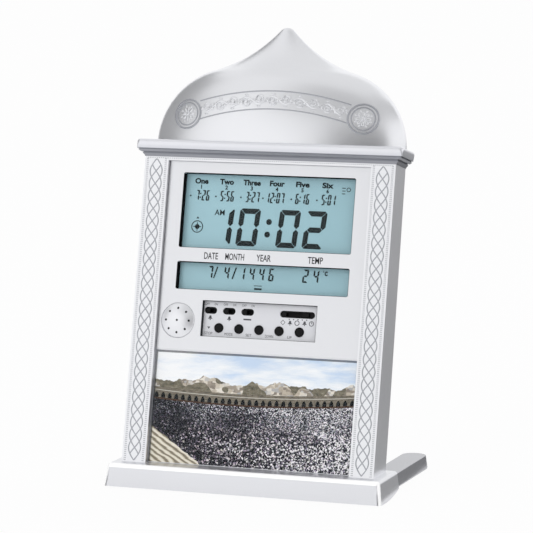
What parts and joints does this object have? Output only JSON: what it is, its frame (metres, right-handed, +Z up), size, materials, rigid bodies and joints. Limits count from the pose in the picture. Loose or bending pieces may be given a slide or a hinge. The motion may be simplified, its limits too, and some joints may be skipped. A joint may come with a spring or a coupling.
{
  "type": "azan clock",
  "caption": "Leaning table clock with braided pillars, cornice and onion dome, a liquid crystal display, a control strip, a speaker and a picture panel, on a bar with rear legs.",
  "frame": {"origin": "middle of the box's footprint, on the table", "axes": "+Z up, -Y the side with the display, +X the viewer's right"},
  "size_m": [0.1942, 0.1174, 0.3007],
  "materials": {
    "case_silver": "satin silver-white paint on moulded plastic",
    "back_plastic": "light grey moulded plastic, fine texture",
    "clear_plastic": "clear polished acrylic",
    "picture_print": "printed card, landscape picture",
    "lcd_glass": "liquid crystal display glass, teal grey with dark segments",
    "backlight_plastic": "milky light guide",
    "frame_plastic": "black moulded plastic",
    "strip_rubber": "silicone strip with carbon layers",
    "circuit_board": "green glass-fibre board",
    "control_grey": "light grey plate",
    "knob_black": "black moulded plastic",
    "switch_body": "black switch housings",
    "ribbon_plastic": "flat grey ribbon cable",
    "lead_plastic": "insulated wire",
    "plated_steel": "zinc plated",
    "can_aluminium": "drawn aluminium cans",
    "cell_can": "sleeved battery cans",
    "cone_paper": "black paper cone",
    "magnet_ferrite": "dark ferrite",
    "foot_rubber": "soft black rubber"
  },
  "bodies": {
    "clock": {"front_case": "case_silver", "face_panel": "case_silver", "cornice": "case_silver", "dome_shell": "case_silver", "stand_bar": "case_silver", "stand_leg_left": "case_silver", "stand_leg_right": "case_silver", "speaker_grille": "case_silver", "rear_cover": "back_plastic", "stand_underside": "back_plastic", "picture_cover": "clear_plastic", "display_lens": "clear_plastic", "picture_card": "picture_print", "lcd_front_glass": "lcd_glass", "lcd_rear_glass": "lcd_glass", "backlight": "backlight_plastic", "lcd_frame": "frame_plastic", "clock_chip": "frame_plastic", "sound_chip": "frame_plastic", "dc_jack": "frame_plastic", "temperature_sensor": "frame_plastic", "zebra_strip": "strip_rubber", "main_board": "circuit_board", "switch_board": "circuit_board", "control_plate": "control_grey", "tact_switches": "switch_body", "slide_switches": "switch_body", "selector_switch": "switch_body", "board_ribbon": "ribbon_plastic", "speaker_leads": "lead_plastic", "battery_leads": "lead_plastic", "board_screws": "plated_steel", "cover_screws": "plated_steel", "stand_screws": "plated_steel", "underside_screws": "plated_steel", "leg_screws": "plated_steel", "battery_contacts": "plated_steel", "battery_springs": "plated_steel", "quartz_crystal": "plated_steel", "speaker_basket": "plated_steel", "capacitors": "can_aluminium", "battery_cells": "cell_can", "speaker_cone": "cone_paper", "speaker_magnet": "magnet_ferrite", "rubber_feet": "foot_rubber"},
    "button_1": {"button_1": "knob_black"},
    "button_2": {"button_2": "knob_black"},
    "button_3": {"button_3": "knob_black"},
    "button_4": {"button_4": "knob_black"},
    "button_5": {"button_5": "knob_black"},
    "slide_knob_1": {"slide_knob_1": "knob_black"},
    "slide_knob_2": {"slide_knob_2": "knob_black"},
    "slide_knob_3": {"slide_knob_3": "knob_black"},
    "selector_knob": {"selector_knob": "knob_black"},
    "battery_door": {"battery_door": "back_plastic"}
  },
  "joints": [
    {"name": "button_1_press", "type": "slide", "parent": "clock", "child": "button_1", "axis": [0, 0.9672, -0.2541], "range_m": [0, 0.0008], "stiffness_N_per_m": 300},
    {"name": "button_2_press", "type": "slide", "parent": "clock", "child": "button_2", "axis": [0, 0.9672, -0.2541], "range_m": [0, 0.0008], "stiffness_N_per_m": 300},
    {"name": "button_3_press", "type": "slide", "parent": "clock", "child": "button_3", "axis": [0, 0.9672, -0.2541], "range_m": [0, 0.0008], "stiffness_N_per_m": 300},
    {"name": "button_4_press", "type": "slide", "parent": "clock", "child": "button_4", "axis": [0, 0.9672, -0.2541], "range_m": [0, 0.0008], "stiffness_N_per_m": 300},
    {"name": "button_5_press", "type": "slide", "parent": "clock", "child": "button_5", "axis": [0, 0.9672, -0.2541], "range_m": [0, 0.0008], "stiffness_N_per_m": 300},
    {"name": "slide_knob_1_slide", "type": "slide", "parent": "clock", "child": "slide_knob_1", "axis": [1, 0, 0], "range_m": [0, 0.004]},
    {"name": "slide_knob_2_slide", "type": "slide", "parent": "clock", "child": "slide_knob_2", "axis": [1, 0, 0], "range_m": [0, 0.004]},
    {"name": "slide_knob_3_slide", "type": "slide", "parent": "clock", "child": "slide_knob_3", "axis": [1, 0, 0], "range_m": [0, 0.004]},
    {"name": "selector_slide", "type": "slide", "parent": "clock", "child": "selector_knob", "axis": [-1, 0, 0], "range_m": [0, 0.012]},
    {"name": "battery_door_hinge", "type": "hinge", "parent": "clock", "child": "battery_door", "pos_m": [0, -0.01877, 0.02015], "axis": [-1, 0, 0], "range_deg": [0, 95]}
  ]
}
